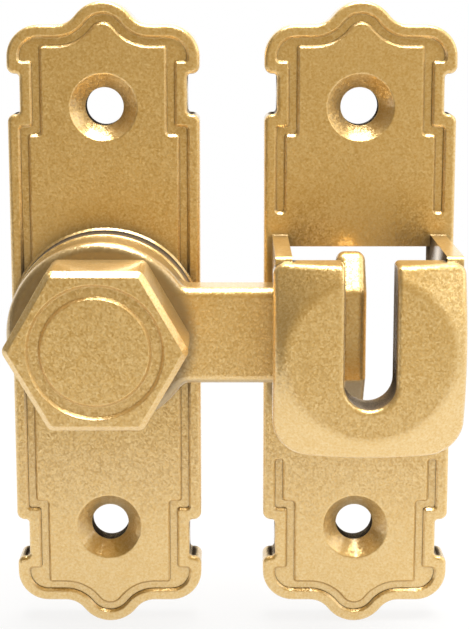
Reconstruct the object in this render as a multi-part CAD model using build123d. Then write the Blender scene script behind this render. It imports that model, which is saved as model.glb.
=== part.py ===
"""Sliding door lock: a latch plate with a swinging T-headed arm, and a U-slotted keeper beside it.

Millimetres. Each piece is drawn lying on its back, with x to the right, y up the door and z out from
the wall, and is stood against the wall (y = 0, front towards -Y) when it is written.
The origin is the pivot axis where it meets the back of the latch plate.
"""

import os
from math import atan2, degrees, radians, sqrt, tan

from build123d import *

# Backplates
plate_width = 28.0
plate_height = 94.4
plate_thickness = 4.5
plate_gap = 9.4
plate_edge_round = 0.6
plate_rim_flat = 0.3
plate_corner_rest = 0.1
dome_radius = 5.0
cove_radius = 3.55
shoulder_drop = 3.4
ear_radius = 4.6
notch_drop = 10.45
notch_length = 5.85
notch_depth = 1.8
notch_inner_round = 0.55
notch_ledge = 0.1
shoulder_flat = 0.1

# Border groove
groove_inset = 1.85
groove_width = 1.1
groove_depth = 0.5
groove_slope = 0.35
groove_corner_round = 0.45
groove_end_round = 0.4

# Fixing holes
hole_end_distance = 15.3
hole_diameter = 5.6
countersink_diameter = 9.9
countersink_angle = 90.0
countersink_edge_round = 0.25

# Pivot
boss_diameter = 27.8
boss_height = 3.6
boss_draft = 0.1
boss_edge_round = 0.4
boss_foot = 0.3
journal_diameter = 9.9
journal_clearance = 0.05
seat_clearance = 0.3
loose_clearance = 0.2

# Washers
thrust_washer_diameter = 22.0
thrust_washer_thickness = 0.5
spring_washer_sheet = 0.3
spring_washer_height = 0.56
spring_washer_play = 0.02
spring_washer_band = 1.55
retaining_washer_thickness = 0.8

# Pivot screw
screw_diameter = 5.0
screw_head_diameter = 9.5
screw_head_height = 1.8
screw_head_round = 0.5
screw_head_recess = 0.3
screw_thread_clearance = 0.02
screw_hole_clearance = 0.15
screw_tip_room = 0.6
drive_length = 4.8
drive_width = 1.0
drive_depth = 1.1

# Swinging arm
hub_diameter = 27.2
hub_thickness = 5.3
bar_width = 14.0
bar_back_step = 0.7
bar_root_round = 2.0
arm_edge_round = 1.3
head_thickness = 4.2
head_height = 23.0
head_depth = 6.2
head_bevel_rise = 5.0
head_bevel_depth = 3.5
head_edge_round = 1.3
head_play = 6.8

# Hexagonal knob
knob_sides = 6
knob_across_flats = 22.4
knob_height = 9.1
knob_corner_round = 1.3
knob_chamfer = 0.8
knob_ring_outer = 19.0
knob_ring_inner = 14.8
knob_ring_depth = 0.5
knob_ring_slope = 0.4
knob_face_wall = 2.3
tenon_size = 10.0
tenon_length = 2.4
tenon_clearance = 0.05
tenon_end_room = 0.1

# Keeper
side_land = 3.5
wall_thickness = 2.3
wall_step = 0.7
wall_seat = 1.4
window_drop = 1.7
window_overrun = 1.2
pocket_clearance = 6.6
block_thickness = 5.4
block_top = 12.4
block_height = 26.9
block_overhang = 0.3
block_top_round = 1.7
block_bottom_round = 5.0
block_face_drop = 12.8
block_face_margin = 1.3
block_face_slope = 27.0
block_face_round = 3.0
block_edge_round = 1.0
slot_width = 7.0
slot_floor = 7.15
slot_edge_round = 0.7
groove_gap_above = 3.4
groove_gap_below = 6.9
bar_side_clearance = 0.5
bar_top_clearance = 0.3

# Corners of the backplates
notch_outer_round = notch_depth - notch_inner_round - notch_ledge
rim_room = groove_inset - groove_slope - plate_rim_flat
front_round = min(plate_edge_round, notch_outer_round - plate_corner_rest, rim_room)
groove_floor = plate_thickness - groove_depth

# Heights above the wall, stacked from the sizes above
boss_front = plate_thickness + boss_height
hub_back = boss_front + thrust_washer_thickness
hub_front = hub_back + hub_thickness
bar_back = hub_back + bar_back_step
head_back = hub_front - head_depth
knob_front = hub_front + knob_height
washer_back = screw_head_recess + screw_head_height
journal_end = washer_back + retaining_washer_thickness
seat_depth = journal_end + spring_washer_height + 2 * spring_washer_play
screw_hole_end = knob_front - knob_face_wall
screw_tip = screw_hole_end - screw_tip_room
block_back = hub_front + pocket_clearance
keeper_depth = block_back + block_thickness

# Places across the wall
keeper_x = plate_width + plate_gap
pocket_half = plate_width / 2 - side_land
wall_outer = pocket_half + wall_thickness
head_x = keeper_x - pocket_half + head_play
block_bottom = block_top - block_height
block_middle = (block_top + block_bottom) / 2
block_half_width = wall_outer + block_overhang
block_face_middle = block_top - block_face_drop
block_face_room = min(block_half_width, block_face_drop, block_height - block_face_drop)
block_face_radius = block_face_room - block_face_margin
slot_bottom = block_bottom + slot_floor
wall_top = block_top + wall_step
washer_hole = journal_diameter + 2 * loose_clearance
seat_fill_diameter = washer_hole + 2 * spring_washer_band
seat_diameter = seat_fill_diameter + 2 * seat_clearance
screw_hole = screw_diameter + 2 * screw_hole_clearance


def slab(low, high):
    """A box between two opposite corners."""
    size = Vector(*high) - Vector(*low)
    return Pos(*low) * Box(*size, align=Align.MIN)


def disc(diameter, low, high):
    """A cylinder about the pivot axis between two heights above the wall."""
    upright = (Align.CENTER, Align.CENTER, Align.MIN)
    return Pos(0, 0, low) * Cylinder(diameter / 2, high - low, align=upright)


def taper(low_diameter, high_diameter, low, high):
    """A cone frustum about the pivot axis between two heights above the wall."""
    upright = (Align.CENTER, Align.CENTER, Align.MIN)
    return Pos(0, 0, low) * Cone(low_diameter / 2, high_diameter / 2, high - low, align=upright)


def backplate_outline(inset, outer_round, inner_round):
    """The backplate's outline drawn some way inside its edge; far inside, its ears are gone."""
    shoulder = plate_height / 2 - shoulder_drop
    notch_top = plate_height / 2 - notch_drop
    notch_foot = notch_top - notch_length - inset
    side = plate_width / 2 - inset
    waist = side - notch_depth
    dome_middle = plate_height / 2 - dome_radius
    cove_rise = shoulder + cove_radius - dome_middle
    cove_reach = sqrt((dome_radius + cove_radius) ** 2 - cove_rise**2)
    lean = degrees(atan2(cove_rise, cove_reach))

    quarter = [
        CenterArc((0, dome_middle), dome_radius - inset, lean, 90 - lean),
        CenterArc((cove_reach, shoulder + cove_radius), cove_radius + inset, 180 + lean, 90 - lean),
    ]
    ear = min(ear_radius, plate_width / 2 - cove_reach - shoulder_flat)
    ear_x = plate_width / 2 - ear
    ear_y = shoulder - ear
    lower_corners = [(waist, notch_foot), (side, notch_foot), (side, 0)]
    if ear_y - outer_round > notch_top + inset:
        quarter.append(Line((cove_reach, shoulder - inset), (ear_x, shoulder - inset)))
        quarter.append(CenterArc((ear_x, ear_y), ear - inset, 0, 90))
        corners = [(side, ear_y), (side, notch_top + inset), (waist, notch_top + inset)]
        rounds = [outer_round, inner_round, inner_round, outer_round]
    else:
        corners = [(cove_reach, shoulder - inset), (waist, shoulder - inset)]
        rounds = [inner_round, inner_round, outer_round]
    quarter.append(FilletPolyline(*corners, *lower_corners, radius=rounds))

    right_half = quarter + [mirror(line, Plane.XZ) for line in quarter]
    both_halves = right_half + [mirror(line, Plane.YZ) for line in right_half]
    return make_face([edge for line in both_halves for edge in line.edges()])


def border_groove():
    """The shallow channel that follows the backplate's edge, as a flat shape."""
    outer = backplate_outline(groove_inset, groove_corner_round, groove_corner_round)
    inner = backplate_outline(groove_inset + groove_width, groove_corner_round, groove_corner_round)
    return outer - inner


def fixing_hole(height):
    """One countersunk screw hole, as the shape that is cut away."""
    sink = (countersink_diameter - hole_diameter) / 2 / tan(radians(countersink_angle / 2))
    hole = disc(hole_diameter, 0, plate_thickness)
    sunk = taper(hole_diameter, countersink_diameter, plate_thickness - sink, plate_thickness)
    return Pos(0, height, 0) * (hole + sunk)


def backplate(groove):
    """A bare backplate with a slope-sided groove in its face and its two fixing holes."""
    plate = extrude(backplate_outline(0, notch_outer_round, notch_inner_round), plate_thickness)
    face = plate.faces().sort_by(Axis.Z)[-1]
    plate = fillet(face.outer_wire().edges(), front_round)
    plate -= Pos(0, 0, groove_floor) * extrude(groove, groove_depth)
    walls = plate.faces().filter_by(GeomType.PLANE)
    walls = walls.filter_by_position(Axis.Z, groove_floor, plate_thickness, inclusive=(False, False))
    lips = walls.edges().filter_by_position(Axis.Z, plate_thickness, plate_thickness)
    plate = chamfer(lips, groove_slope)
    hole_height = plate_height / 2 - hole_end_distance
    plate = plate - fixing_hole(hole_height) - fixing_hole(-hole_height)
    seats = plate.edges().filter_by(GeomType.CIRCLE)
    seats = seats.filter_by_position(Axis.Z, plate_thickness, plate_thickness)
    seats = seats.filter_by(lambda edge: edge.is_closed)
    return fillet(seats, countersink_edge_round)


def make_latch_plate():
    """Left backplate with the boss that carries the arm, its bearing bore and the recess behind."""
    boss = taper(boss_diameter, boss_diameter - 2 * boss_draft, groove_floor, boss_front)
    rim = boss.edges().filter_by(GeomType.CIRCLE).sort_by(Axis.Z)[-1]
    boss = fillet(rim, boss_edge_round)
    foot_diameter = boss_diameter + 2 * boss_foot
    foot = disc(foot_diameter, groove_floor, plate_thickness)
    foot += taper(foot_diameter, boss_diameter, plate_thickness, plate_thickness + boss_foot)
    foot_reach = plate_width / 2 - front_round
    foot &= slab((-foot_reach, -foot_diameter, 0), (foot_reach, foot_diameter, boss_front))
    plate = backplate(border_groove()) + boss + foot
    plate -= disc(journal_diameter + 2 * journal_clearance, 0, boss_front)
    plate -= disc(seat_diameter, 0, seat_depth)
    return plate


def block_outline():
    """The front block seen from the front: square above, well rounded below."""
    outline = Pos(0, block_middle) * Rectangle(2 * block_half_width, block_height)
    outline = fillet(outline.vertices().group_by(Axis.Y)[-1], block_top_round)
    return fillet(outline.vertices().group_by(Axis.Y)[0], block_bottom_round)


def make_block():
    """The keeper's thick front: a rounded block with a bevelled face and a U slot open at its top."""
    face_diameter = 2 * block_face_radius
    spread = 2 * block_thickness / tan(radians(block_face_slope))
    cone = taper(face_diameter + spread, face_diameter, block_back, keeper_depth)
    block = Pos(0, 0, block_back) * extrude(block_outline(), block_thickness)
    block &= Pos(0, block_face_middle, 0) * cone
    brow = block.edges().filter_by_position(Axis.Z, keeper_depth, keeper_depth)
    block = fillet(brow, block_face_round)
    rim = block.faces().filter_by(GeomType.CONE)[0].outer_wire().edges()
    block = fillet(rim, block_edge_round)

    slot_end = Pos(0, slot_bottom + slot_width / 2, 0) * disc(slot_width, block_back, keeper_depth)
    slot_low = (-slot_width / 2, slot_bottom + slot_width / 2, block_back)
    slot = slot_end + slab(slot_low, (slot_width / 2, block_top, keeper_depth))
    block -= slot
    sides = block.faces().filter_by(GeomType.PLANE).filter_by(Axis.X)
    sides = sides.filter_by_position(Axis.X, -slot_width, slot_width)
    bend = block.faces().filter_by(GeomType.CYLINDER).sort_by_distance((0, slot_bottom, block_back))[0]
    lips = [edge for side in (*sides, bend) for edge in side.edges()]
    lips = ShapeList(lips).filter_by(Axis.Z, reverse=True)
    lips = lips.filter_by_position(Axis.Z, block_back, keeper_depth, inclusive=(False, True))
    return fillet(lips, slot_edge_round)


def make_side_wall():
    """The pocket's right side wall: it follows the block's round foot and ends in a rounded nose above."""
    wall_front = block_back + wall_seat
    wall = slab((pocket_half, block_middle, plate_thickness), (wall_outer, wall_top, wall_front))
    nose = wall.edges().filter_by(Axis.X).group_by(Axis.Z)[-1].sort_by(Axis.Y)[-1]
    wall = fillet(nose, wall_step)
    foot = slab((pocket_half, block_bottom, plate_thickness), (wall_outer, block_middle, wall_front))
    return wall + (foot & extrude(block_outline(), wall_front))


def make_keeper():
    """Right backplate, side walls and slotted front in one casting, open above, below and behind."""
    stop_above = wall_top + groove_gap_above
    stop_below = block_bottom - groove_gap_below
    stop = Pos(0, (stop_above + stop_below) / 2) * Rectangle(plate_width, stop_above - stop_below)
    groove = border_groove() - stop
    ends = groove.vertices().filter_by_position(Axis.Y, stop_below, stop_above)
    plate = backplate(fillet(ends, groove_end_round))
    window_low = (-pocket_half, block_bottom - window_overrun, 0)
    plate -= slab(window_low, (pocket_half, wall_top - window_drop, plate_thickness))

    right_wall = make_side_wall()
    left_wall = mirror(right_wall, Plane.YZ)
    notch_top = bar_width / 2 + bar_top_clearance
    notch_low = (-wall_outer, block_bottom, bar_back - bar_side_clearance)
    left_wall -= slab(notch_low, (-pocket_half, notch_top, hub_front + bar_side_clearance))
    return plate + right_wall + left_wall + make_block()


def make_head():
    """The arm's upright T head, with lead-in bevels at both ends."""
    half = head_height / 2
    front = hub_front - head_bevel_depth
    shank = half - head_bevel_rise
    outline = Polyline(
        (-half, head_back),
        (half, head_back),
        (half, front),
        (shank, hub_front),
        (-shank, hub_front),
        (-half, front),
        close=True,
    )
    head = Pos(head_x, 0, 0) * extrude(Plane.YZ * make_face(outline), head_thickness)
    return fillet(head.edges(), head_edge_round)


def make_swing_arm():
    """Hub, bar, T head and the journal that turns in the latch plate, in one casting."""
    hub = disc(hub_diameter, hub_back, hub_front)
    bar_end = head_x + head_edge_round
    bar = slab((0, -bar_width / 2, bar_back), (bar_end, bar_width / 2, hub_front))
    arm = hub + bar
    roots = arm.edges().filter_by(Axis.Z).group_by(Axis.X)[0]
    arm = fillet(roots, bar_root_round)
    face = arm.faces().filter_by(Axis.Z).sort_by(Axis.Z)[-1]
    arm = fillet(face.outer_wire().edges(), arm_edge_round)
    arm += make_head()
    arm += disc(journal_diameter, journal_end, hub_back)
    arm -= disc(screw_hole, journal_end, hub_front)
    socket_floor = hub_front - tenon_length - tenon_end_room
    half_socket = tenon_size / 2
    arm -= slab((-half_socket, -half_socket, socket_floor), (half_socket, half_socket, hub_front))
    return arm


def make_hex_knob():
    """Six-sided knob with a ring groove in its face, a square tenon behind and a blind screw hole."""
    outline = RegularPolygon(knob_across_flats / 2, knob_sides, major_radius=False)
    outline = fillet(outline.vertices(), knob_corner_round)
    knob = Pos(0, 0, hub_front) * extrude(outline, knob_height)
    face = knob.faces().filter_by(Axis.Z).sort_by(Axis.Z)[-1]
    knob = chamfer(face.outer_wire().edges(), knob_chamfer)
    ring_floor = knob_front - knob_ring_depth
    outer_wall = taper(knob_ring_outer - 2 * knob_ring_slope, knob_ring_outer, ring_floor, knob_front)
    inner_wall = taper(knob_ring_inner + 2 * knob_ring_slope, knob_ring_inner, ring_floor, knob_front)
    knob -= outer_wall - inner_wall
    half_tenon = tenon_size / 2 - tenon_clearance
    tenon_end = hub_front - tenon_length
    knob += slab((-half_tenon, -half_tenon, tenon_end), (half_tenon, half_tenon, hub_front))
    knob -= disc(screw_diameter + 2 * screw_thread_clearance, tenon_end, screw_hole_end)
    return knob


def make_pivot_screw():
    """Low-headed machine screw with a cross recess, driven from behind the latch plate."""
    head = disc(screw_head_diameter, screw_head_recess, washer_back)
    rim = head.edges().sort_by(Axis.Z)[0]
    head = fillet(rim, screw_head_round)
    recess_middle = screw_head_recess + drive_depth / 2
    bar = Pos(0, 0, recess_middle) * Box(drive_length, drive_width, drive_depth)
    head -= bar
    head -= Rot(0, 0, 90) * bar
    return head + disc(screw_diameter, washer_back, screw_tip)


def make_retaining_washer():
    """Plain washer clamped on the journal's end."""
    ring = disc(seat_fill_diameter, washer_back, journal_end)
    return ring - disc(screw_hole, washer_back, journal_end)


def make_spring_washer():
    """Bowed spring washer between the recess floor and the retaining washer."""
    half = seat_fill_diameter / 2
    bow = spring_washer_height - spring_washer_sheet
    bend_radius = (half**2 + bow**2) / (2 * bow)
    low = journal_end + spring_washer_play
    high = low + spring_washer_height
    middle = high - bend_radius
    inner_radius = bend_radius - spring_washer_sheet
    sheet = Cylinder(bend_radius, seat_diameter) - Cylinder(inner_radius, seat_diameter)
    sheet = Pos(0, 0, middle) * Rot(90, 0, 0) * sheet
    ring = disc(seat_fill_diameter, low, high) - disc(washer_hole, low, high)
    return ring & sheet


def make_thrust_washer():
    """Thin washer between the boss and the hub."""
    ring = disc(thrust_washer_diameter, boss_front, hub_back)
    return ring - disc(washer_hole, boss_front, hub_back)


pieces = {
    "latch_plate": make_latch_plate(),
    "keeper": Pos(keeper_x, 0, 0) * make_keeper(),
    "swing_arm": make_swing_arm(),
    "hex_knob": make_hex_knob(),
    "pivot_screw": make_pivot_screw(),
    "retaining_washer": make_retaining_washer(),
    "spring_washer": make_spring_washer(),
    "thrust_washer": make_thrust_washer(),
}

os.makedirs("parts", exist_ok=True)
for name, piece in pieces.items():
    export_step(Plane.XZ * piece, f"parts/{name}.step")
    print(name, round(piece.volume, 1))
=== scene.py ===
# %% [markdown]
# # A sliding door lock in satin gold
#
# The real lock is two die-cast plates. The left one carries an arm that turns on a pivot, with a six-sided
# knob in front, and the right one is a keeper that takes the arm's T head. All four castings are sprayed with
# the same gold paint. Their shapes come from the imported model, in metres and in place, so this lesson adds
# the finishes, the light and the camera.

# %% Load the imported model
from math import pi, radians

import bpy
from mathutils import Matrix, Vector


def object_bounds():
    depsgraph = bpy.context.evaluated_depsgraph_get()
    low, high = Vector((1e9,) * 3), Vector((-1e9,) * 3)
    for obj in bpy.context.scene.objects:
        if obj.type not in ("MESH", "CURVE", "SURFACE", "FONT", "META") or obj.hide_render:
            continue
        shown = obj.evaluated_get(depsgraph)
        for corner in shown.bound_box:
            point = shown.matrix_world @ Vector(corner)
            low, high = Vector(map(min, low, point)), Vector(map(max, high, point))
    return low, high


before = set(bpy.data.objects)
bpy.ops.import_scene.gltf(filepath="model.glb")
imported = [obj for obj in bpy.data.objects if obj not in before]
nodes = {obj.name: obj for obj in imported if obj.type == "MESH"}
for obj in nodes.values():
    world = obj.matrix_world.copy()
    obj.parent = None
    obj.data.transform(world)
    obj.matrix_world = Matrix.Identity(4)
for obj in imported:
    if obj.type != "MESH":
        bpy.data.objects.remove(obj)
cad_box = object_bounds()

millimetre = 0.001
print("pieces:", ", ".join(sorted(nodes)))
print("size in mm:", [round(side / millimetre, 1) for side in cad_box[1] - cad_box[0]])

# %% [markdown]
# ## Shader maths as plain expressions
#
# A finish is a tree of nodes. Added one by one, ten lines of sums hide what the paint does, so one small
# class wraps a socket: adding or multiplying wires puts the Math nodes in place. Its `node` method adds every
# other kind of node, with the settings first, because some of them change which sockets there are.


# %% A wire between shader nodes
class Wire:
    """One output socket in a node tree. Arithmetic on it adds Math nodes."""

    def __init__(self, tree, socket=None):
        self.tree = tree
        self.socket = socket

    def node(self, kind, settings=None, inputs=None, output=0):
        """Add a node: its settings first, then its sockets' values or links. Returns one of its outputs."""
        made = self.tree.nodes.new(kind)
        for name, value in (settings or {}).items():
            setattr(made, name, value)
        for name, value in (inputs or {}).items():
            if isinstance(value, Wire):
                self.tree.links.new(value.socket, made.inputs[name])
            else:
                made.inputs[name].default_value = value
        return Wire(self.tree, made.outputs[output]) if made.outputs else None

    def maths(self, operation, left, right=0.0):
        """One Math node, for the operators below and for sums that have no operator."""
        return self.node("ShaderNodeMath", {"operation": operation}, {0: left, 1: right})

    def __add__(self, other):
        return self.maths("ADD", self, other)

    def __radd__(self, other):
        return self.maths("ADD", other, self)

    def __sub__(self, other):
        return self.maths("SUBTRACT", self, other)

    def __rsub__(self, other):
        return self.maths("SUBTRACT", other, self)

    def __mul__(self, other):
        return self.maths("MULTIPLY", self, other)

    def __rmul__(self, other):
        return self.maths("MULTIPLY", other, self)

    def __pow__(self, other):
        return self.maths("POWER", self, other)

    def __rpow__(self, other):
        return self.maths("POWER", other, self)

    def axes(self):
        """The x, y and z of a vector, as three wires."""
        split = self.node("ShaderNodeSeparateXYZ", None, {0: self})
        return [Wire(self.tree, part) for part in split.socket.node.outputs]

    def ramp(self, start, end):
        """This value stretched so that start becomes 0 and end becomes 1, eased at both ends."""
        limits = {"Value": self, "From Min": start, "From Max": end}
        return self.node("ShaderNodeMapRange", {"interpolation_type": "SMOOTHSTEP"}, limits)

    def colours(self, first, second):
        """Two colours mixed by this value: the first at 0, the second at 1."""
        return self.node("ShaderNodeMix", {"data_type": "RGBA"}, {0: self, 6: first, 7: second}, output=2)


print("wires ready")

# %% [markdown]
# ## One finish for each piece
#
# Each piece gets a material of its own, because its masks depend on where it sits. Two patterns come back in
# several finishes: noise of a given size, measured in the lock's own coordinates so that it turns with the
# arm, and the distance from the pivot, which places everything that was turned or clamped about it.


# %% Helpers for finishes
def new_finish(name):
    """An empty material and the first wire of its tree."""
    material = bpy.data.materials.new(name)
    material.use_nodes = True
    material.node_tree.nodes.clear()
    return material, Wire(material.node_tree)


def dress(piece, material):
    """Give a piece of the model its finish."""
    nodes[piece].data.materials.clear()
    nodes[piece].data.materials.append(material)
    print(piece, "wears", material.name, "with", len(material.node_tree.nodes), "nodes")


def noise(place, size, detail):
    """Soft random values with features of about this size."""
    return place.node("ShaderNodeTexNoise", None, {"Vector": place, "Scale": 1 / size, "Detail": detail})


def from_pivot(place):
    """How far a point is from the pivot's axis."""
    across, _, upward = place.axes()
    return (across * across + upward * upward) ** 0.5


print("helpers ready")

# %% [markdown]
# ## The gold paint's surface
#
# The castings wear a satin gold paint: metal flakes in a clear binder, sprayed over a lightly blasted
# surface. Close up it is a fine sand of light and dark specks, a third of a millimetre across, and single
# flakes flash where they lean towards the light. A flat gold colour would look like plastic, and an image
# would have to be stretched over every wall. Noise at the real size of the specks gives the sand, and a
# Voronoi texture gives each flake its own lean and its own brightness. A bevel node softens the edges as
# thick paint does.

# %% The paint's sand and flakes
speck_size = 0.34 * millimetre
speck_height = 0.008 * millimetre
speck_detail = 2.0
flake_size = 0.22 * millimetre
flake_lean = 0.18
flake_middle = (0.5, 0.5, 0.5)
soft_edge = 0.25 * millimetre
edge_rays = 6


def paint_normal(paint, specks, flakes):
    """Softened edges, then the sand's bumps, then each flake's own lean."""
    edge = paint.node("ShaderNodeBevel", {"samples": edge_rays}, {"Radius": soft_edge})
    sand = paint.node("ShaderNodeBump", None, {"Distance": speck_height, "Height": specks, "Normal": edge})
    lean = paint.node("ShaderNodeVectorMath", {"operation": "SUBTRACT"}, {0: flakes, 1: flake_middle})
    lean = paint.node("ShaderNodeVectorMath", {"operation": "SCALE"}, {0: lean, "Scale": flake_lean})
    leaning = paint.node("ShaderNodeVectorMath", {"operation": "ADD"}, {0: sand, 1: lean})
    return paint.node("ShaderNodeVectorMath", {"operation": "NORMALIZE"}, {0: leaning})


print("specks of", speck_size / millimetre, "mm and flakes of", flake_size / millimetre, "mm")

# %% [markdown]
# ## Painted shade on hidden walls
#
# Walls inside the holes, the slot and the pocket lie in shade and look a dull grey brown. Here that shade is
# painted: they get a dark, plain finish that doesn't shine, near black where they are most hidden. A mask
# painted by hand would have to follow every wall. An occlusion node finds what a casting hides from itself,
# and the normal tells which of that is turned away from the front, so the two together find these walls. The
# tops of the keeper's side walls and the lips of the grooves look up and stay gold. They lie in a known strip
# of depth, and are let off there. The T head's lower end hangs down in the pocket's shade, so a share of the
# painted shade goes there too. Each pair of numbers below is where a ramp starts and ends.

# %% The painted wall shade's mask
hidden_sky = (0.99, 0.86)
turned_away = (-0.5, -0.1)
turned_up = (0.3, 0.8)
top_share = 0.1
strip_share = 0.4
strip_back = -3.75 * millimetre
strip_front = {"keeper": -14.0 * millimetre, "latch_plate": -4.6 * millimetre}
# Where the painted shade on the T head's lower end starts, how far down it turns, and its share.
head_side = 35.0 * millimetre
head_end_turned = (-0.05, -0.35)
head_shade_share = 0.65


def shaded_walls(paint, piece, place, open_sky):
    """1 on walls that their own casting hides and that are turned away from the front, for painted shade."""
    _, backward, upward = paint.node("ShaderNodeTexCoord", output="Normal").axes()
    across, depth, _ = place.axes()
    front = strip_front.get(piece, 0.0)
    in_strip = depth.ramp(front - soft_edge, front) * depth.ramp(strip_back, strip_back - soft_edge)
    # Tops that look up stay gold and get none of the painted shade.
    upward_top = upward.ramp(*turned_up) * (top_share + in_strip * strip_share)
    hidden = (open_sky + upward_top).ramp(*hidden_sky)
    walls = hidden * backward.ramp(*turned_away)
    if piece == "swing_arm":
        # Painted shade on the T head's lower end, which hangs in the pocket.
        head_end_shade = upward.ramp(*head_end_turned) * across.ramp(head_side - soft_edge, head_side)
        walls = paint.maths("MAXIMUM", walls, head_end_shade * head_shade_share)
    return walls


print("strips let off:", ", ".join(sorted(strip_front)))

# %% [markdown]
# ## The gold paint's colour
#
# The colour follows the sand, with slow clouds where the spray was thicker. Shade is painted in as a greyer
# gold: in corners, on the hub's face close to the knob and on the arm's undersides. Masks painted by hand
# would have to be redone with every change of shape. Here all three are measured, by the occlusion, by the
# distance from the pivot and by the normal, and each mixes the gold towards one grey gold, the painted shade.

# %% The paint's colours
gold_dark = (0.86, 0.56, 0.185, 1)
gold_light = (1.0, 0.76, 0.38, 1)
# The grey gold below is painted shade, for corners, beside the knob and under the arm.
shaded_gold = (0.36, 0.275, 0.165, 1)
shade_sky = (0.25, 0.92)
cloud_size = 5.0 * millimetre
cloud_detail = 3.0
middle = 0.5
speck_share = 1.1
flake_share = 0.35
cloud_share = 0.25
knob_shade = (14.6 * millimetre, 12.0 * millimetre)
turned_down = (-0.2, -0.7)
underside_shade_share = 0.6


def paint_colour(paint, piece, place, specks, flakes, open_sky):
    """Sand between a dark and a light gold, with painted shade in corners, beside the knob and underneath."""
    clouds = noise(place, cloud_size, cloud_detail)
    brightness = paint.node("ShaderNodeSeparateColor", None, {0: flakes})
    sand = middle + (specks - middle) * speck_share
    sand = sand + (brightness - middle) * flake_share + (clouds - middle) * cloud_share
    colour = sand.ramp(0, 1).colours(gold_dark, gold_light)
    # Painted shade in corners, by the occlusion.
    colour = open_sky.ramp(*shade_sky).colours(shaded_gold, colour)
    if piece == "swing_arm":
        # Painted shade on the hub's face close to the knob.
        colour = from_pivot(place).ramp(*knob_shade).colours(colour, shaded_gold)
        # Painted shade on the arm's faces that look down.
        _, _, upward = paint.node("ShaderNodeTexCoord", output="Normal").axes()
        underside_shade = upward.ramp(*turned_down) * underside_shade_share
        colour = underside_shade.colours(colour, shaded_gold)
    return colour


print("gold between", gold_dark[:3], "and", gold_light[:3])

# %% [markdown]
# ## The gold paint on the castings
#
# The flakes are metal and the binder isn't, so the shader is mostly metallic, under a clear coat that gives
# the sharp white lines along the edges. The walls with painted shade could be a darker colour in the same
# shader, but they would still shine, so they are a second, plain shader, and the mask mixes the two.

# %% Paint the four castings
corner_reach = 8.0 * millimetre
corner_rays = 8
# The two wall colours below are painted shade for hidden walls, near black where most is hidden.
dull_wall_shade = (0.21, 0.165, 0.115, 1)
deep_wall_shadow = (0.022, 0.018, 0.016, 1)
deep_shadow_sky = (0.45, 0.9)
gold_roughness = 0.28
speck_roughness = 0.14
dull_roughness = 0.7
dull_speck_roughness = 0.2


def gold_paint_and_shade(piece):
    """The satin gold of one casting, with its painted shade."""
    material, paint = new_finish(f"gold_paint_and_shade_{piece}")
    place = paint.node("ShaderNodeTexCoord", output="Object")
    specks = noise(place, speck_size, speck_detail)
    flakes = paint.node("ShaderNodeTexVoronoi", None, {"Vector": place, "Scale": 1 / flake_size}, "Color")
    own_corners = {"samples": corner_rays, "only_local": True}
    open_sky = paint.node("ShaderNodeAmbientOcclusion", own_corners, {"Distance": corner_reach}, "AO")
    gold = paint.node("ShaderNodeBsdfPrincipled", None, {
        "Base Color": paint_colour(paint, piece, place, specks, flakes, open_sky),
        "Metallic": 0.74,
        "Roughness": gold_roughness + specks * speck_roughness,
        "Normal": paint_normal(paint, specks, flakes),
        "Coat Weight": 1.0,
        "Coat Roughness": 0.12,
    })
    dull = paint.node("ShaderNodeBsdfPrincipled", None, {
        # Painted shade: the wall colour darkens towards black the more the casting hides it.
        "Base Color": open_sky.ramp(*deep_shadow_sky).colours(deep_wall_shadow, dull_wall_shade),
        "Roughness": dull_roughness + specks * dull_speck_roughness,
        "Specular IOR Level": 0.0,
    })
    # The mask where the painted wall shade replaces the gold.
    wall_shade = shaded_walls(paint, piece, place, open_sky)
    both = paint.node("ShaderNodeMixShader", None, {0: wall_shade, 1: gold, 2: dull})
    paint.node("ShaderNodeOutputMaterial", None, {"Surface": both})
    return material


for piece in ("latch_plate", "keeper", "swing_arm", "hex_knob"):
    dress(piece, gold_paint_and_shade(piece))

# %% [markdown]
# ## The pivot's steel
#
# Behind the latch plate a zinc-plated screw and its washer show in their recess. Turned steel carries fine
# rings about its axis. Real rings in the mesh would need thousands of faces, so the distance from the pivot,
# run through a sine, raises them as bumps. Soft smears of plating change the colour and the gloss.

# %% Turned steel
ring_pitch = 0.18 * millimetre
ring_height = 0.003 * millimetre
smear_size = 2.2 * millimetre
smear_detail = 4.0
smear_range = (0.3, 0.7)
steel_roughness = 0.24
smear_roughness = 0.2
screw_dark = (0.46, 0.46, 0.45, 1)
screw_light = (0.66, 0.66, 0.64, 1)
washer_dark = (0.44, 0.44, 0.43, 1)
washer_light = (0.62, 0.62, 0.60, 1)
spring_dark = (0.16, 0.155, 0.15, 1)
spring_light = (0.27, 0.265, 0.26, 1)


def turned_steel(name, dark, light):
    """Plated steel with fine turning rings about the pivot axis."""
    material, steel = new_finish(name)
    place = steel.node("ShaderNodeTexCoord", output="Object")
    rings = 0.5 + 0.5 * steel.maths("SINE", from_pivot(place) * (2 * pi / ring_pitch))
    smears = noise(place, smear_size, smear_detail)
    edge = steel.node("ShaderNodeBevel", {"samples": edge_rays}, {"Radius": soft_edge})
    bumps = steel.node("ShaderNodeBump", None, {"Distance": ring_height, "Height": rings, "Normal": edge})
    shader = steel.node("ShaderNodeBsdfPrincipled", None, {
        "Base Color": smears.ramp(*smear_range).colours(dark, light),
        "Metallic": 1.0,
        "Roughness": steel_roughness + smears * smear_roughness,
        "Normal": bumps,
    })
    steel.node("ShaderNodeOutputMaterial", None, {"Surface": shader})
    return material


dress("pivot_screw", turned_steel("zinc_plate_screw", screw_dark, screw_light))
dress("retaining_washer", turned_steel("zinc_plate_washer", washer_dark, washer_light))
dress("spring_washer", turned_steel("oiled_spring_steel", spring_dark, spring_light))

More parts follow.
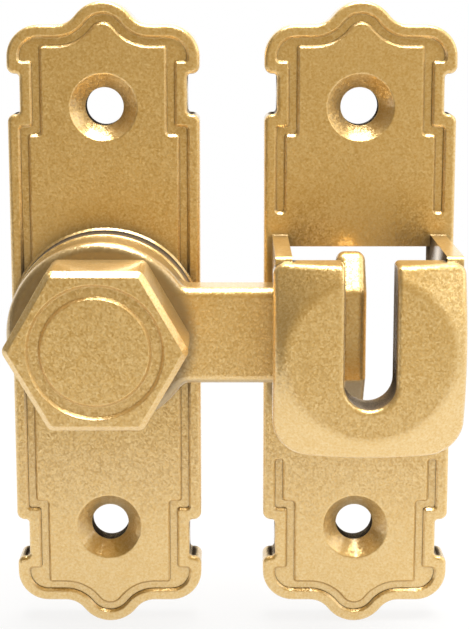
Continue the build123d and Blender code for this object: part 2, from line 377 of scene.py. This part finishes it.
# %% [markdown]
# ## The nylon washer
#
# A thin washer of natural nylon keeps the painted hub off the painted boss. It shows only as a line. Nylon is
# a milky plastic. Light could be scattered inside it, but a line is too thin to show that, so two close
# off-whites in soft clouds and a faint grain are enough.

# %% Milky nylon
nylon_dark = (0.62, 0.60, 0.53, 1)
nylon_light = (0.76, 0.74, 0.68, 1)
nylon_roughness = 0.45
grain_roughness = 0.15


def milky_nylon():
    """Natural nylon: off white, a little cloudy, softly rough."""
    material, nylon = new_finish("milky_nylon")
    place = nylon.node("ShaderNodeTexCoord", output="Object")
    clouds = noise(place, smear_size, cloud_detail)
    grain = noise(place, speck_size, speck_detail)
    shader = nylon.node("ShaderNodeBsdfPrincipled", None, {
        "Base Color": clouds.ramp(*smear_range).colours(nylon_dark, nylon_light),
        "Roughness": nylon_roughness + grain * grain_roughness,
        "Normal": nylon.node("ShaderNodeBump", None, {"Distance": ring_height, "Height": grain}),
    })
    nylon.node("ShaderNodeOutputMaterial", None, {"Surface": shader})
    return material


dress("thrust_washer", milky_nylon())

# %% [markdown]
# ## The floor
#
# The lock stands against plain white. A white floor that is only lit turns grey away from the lamps, and more
# light on it would bleach the gold. So what the camera and the gloss see of it is mostly a steady white, and
# the rest, near the lock, is lit and keeps its shadow.

# %% A white floor that keeps the shadow
lock_middle = (cad_box[0] + cad_box[1]) / 2
floor_level = cad_box[0].z
floor_half = 1.2
floor_front = 0.09
floor_colour = (0.8, 0.8, 0.8, 1)
floor_steady = 0.86
shadow_reach = (0.07, 0.22)
white = (1, 1, 1, 1)


def seen_directly(tree):
    """1 for rays from the camera, from gloss and through glass, 0 for the rest."""
    rays = tree.node("ShaderNodeLightPath", output="Is Camera Ray")
    sockets = rays.socket.node.outputs
    gloss = Wire(tree.tree, sockets["Is Glossy Ray"])
    glass = Wire(tree.tree, sockets["Is Transmission Ray"])
    return tree.maths("MINIMUM", rays + gloss + glass, 1.0)


def floor_white():
    """White to the camera and the gloss, with a lit share near the lock for the shadow."""
    material, floor = new_finish("floor_white")
    lit = floor.node("ShaderNodeBsdfDiffuse", None, {"Color": floor_colour})
    steady = floor.node("ShaderNodeEmission", None, {"Color": white, "Strength": 1.0})
    place = floor.node("ShaderNodeNewGeometry", output="Position")
    foot = (lock_middle.x, 0, floor_level)
    distance = floor.node("ShaderNodeVectorMath", {"operation": "DISTANCE"}, {0: place, 1: foot}, "Value")
    share = seen_directly(floor) * (floor_steady + distance.ramp(*shadow_reach) * (1 - floor_steady))
    both = floor.node("ShaderNodeMixShader", None, {0: share, 1: lit, 2: steady})
    floor.node("ShaderNodeOutputMaterial", None, {"Surface": both})
    return material


bpy.ops.mesh.primitive_plane_add(size=2 * floor_half, location=(0, floor_half - floor_front, floor_level))
floor = bpy.context.object
floor.name = "floor"
floor.data.materials.append(floor_white())
print("floor at z =", round(floor_level / millimetre, 2), "mm")

# %% [markdown]
# ## The surroundings
#
# Gold shows what stands around it. An even white room would make every face equally pale. In the photograph
# the front is dim and warm at eye level, dimmer to the left, and the table below it is bright, so upright
# faces are a deep gold above and pale below. The room's left is dark and its right is soft, which turns the
# slopes of the knob and the block. Behind the lock, and to the camera, all is white. Cards round the lock
# could do this too, but they would stand in the way in other views, so the world's colour does it.

# %% Dim front, dark left, white back
dim_front = (0.31, 0.22, 0.075, 1)
warm_front = (0.48, 0.36, 0.16, 1)
pale_table = (1.0, 0.97, 0.92, 1)
dark_left = (0.10, 0.08, 0.06, 1)
soft_right = (0.80, 0.76, 0.66, 1)
dim_to_warm = (-0.14, 0.1)
front_to_table = (-0.24, -0.36)
left_to_right = (-0.2, 0.6)
front_to_side = (0.4, 0.85)
front_to_back = (0.1, 0.6)
room_light = 0.64


def make_surroundings():
    """The room as a colour for each direction, dimmer as light than as what is mirrored."""
    world = bpy.data.worlds.new("surroundings")
    world.use_nodes = True
    world.node_tree.nodes.clear()
    sky = Wire(world.node_tree)
    across, backward, upward = sky.node("ShaderNodeTexCoord", output="Generated").axes()
    camera_ray = sky.node("ShaderNodeLightPath", output="Is Camera Ray")
    front = across.ramp(*dim_to_warm).colours(dim_front, warm_front)
    front = upward.ramp(*front_to_table).colours(front, pale_table)
    side = across.ramp(*left_to_right).colours(dark_left, soft_right)
    around = sky.maths("ABSOLUTE", across).ramp(*front_to_side).colours(front, side)
    behind = sky.maths("MAXIMUM", backward.ramp(*front_to_back), camera_ray)
    shader = sky.node("ShaderNodeBackground", None, {
        "Color": behind.colours(around, white),
        "Strength": room_light + seen_directly(sky) * (1 - room_light),
    })
    sky.node("ShaderNodeOutputWorld", None, {"Surface": shader})
    bpy.context.scene.world = world


make_surroundings()
print("surroundings: warm front", warm_front[:3], "room light", room_light)

# %% [markdown]
# ## Lamps
#
# A large soft lamp hangs almost overhead, a little to the front and to the right. It whitens every edge that
# leans upwards: the knob's top chamfer, the bar's upper edge, the lips of the slot. A weak one far to the
# right opens the slopes on that side. Small lamps would burn hard spots into the satin.


# %% Two soft lamps
def soft_lamp(name, place, width, depth, power):
    """A flat lamp that faces the middle of the lock."""
    lamp = bpy.data.lights.new(name, "AREA")
    lamp.shape = "RECTANGLE"
    lamp.size = width
    lamp.size_y = depth
    lamp.energy = power
    holder = bpy.data.objects.new(name, lamp)
    holder.location = place
    holder.rotation_euler = (lock_middle - Vector(place)).to_track_quat("-Z", "Y").to_euler()
    bpy.context.scene.collection.objects.link(holder)
    print(name, "of", power, "W at", place)


soft_lamp("top_lamp", place=(0.07, -0.07, 0.58), width=0.36, depth=0.50, power=5.9)
soft_lamp("right_lamp", place=(0.55, -0.12, 0.25), width=0.35, depth=0.35, power=0.5)

# %% [markdown]
# ## Camera
#
# The photograph looks almost square at the plates from a little above their middle, close enough that the
# knob and the keeper's front shift against the plates. The camera's place, pitch and focal length were found
# by matching known points of the lock. A small lens shift keeps the upright edges nearly parallel. A larger
# one would straighten them fully, but other views keep the shift too and would cut the lock off.

# %% The photograph's camera
camera_place = (0.01906, -0.21584, 0.04973)
camera_down = radians(9.00)
camera = bpy.data.cameras.new("camera")
camera.lens = 83.35
camera.shift_y = -0.16
camera.clip_start = 0.01
camera_holder = bpy.data.objects.new("camera", camera)
camera_holder.location = camera_place
camera_holder.rotation_euler = (pi / 2 - camera_down, 0, 0)
bpy.context.scene.collection.objects.link(camera_holder)
bpy.context.scene.camera = camera_holder
bpy.context.scene.view_settings.view_transform = "Standard"
print("camera", camera_place, "lens", camera.lens)
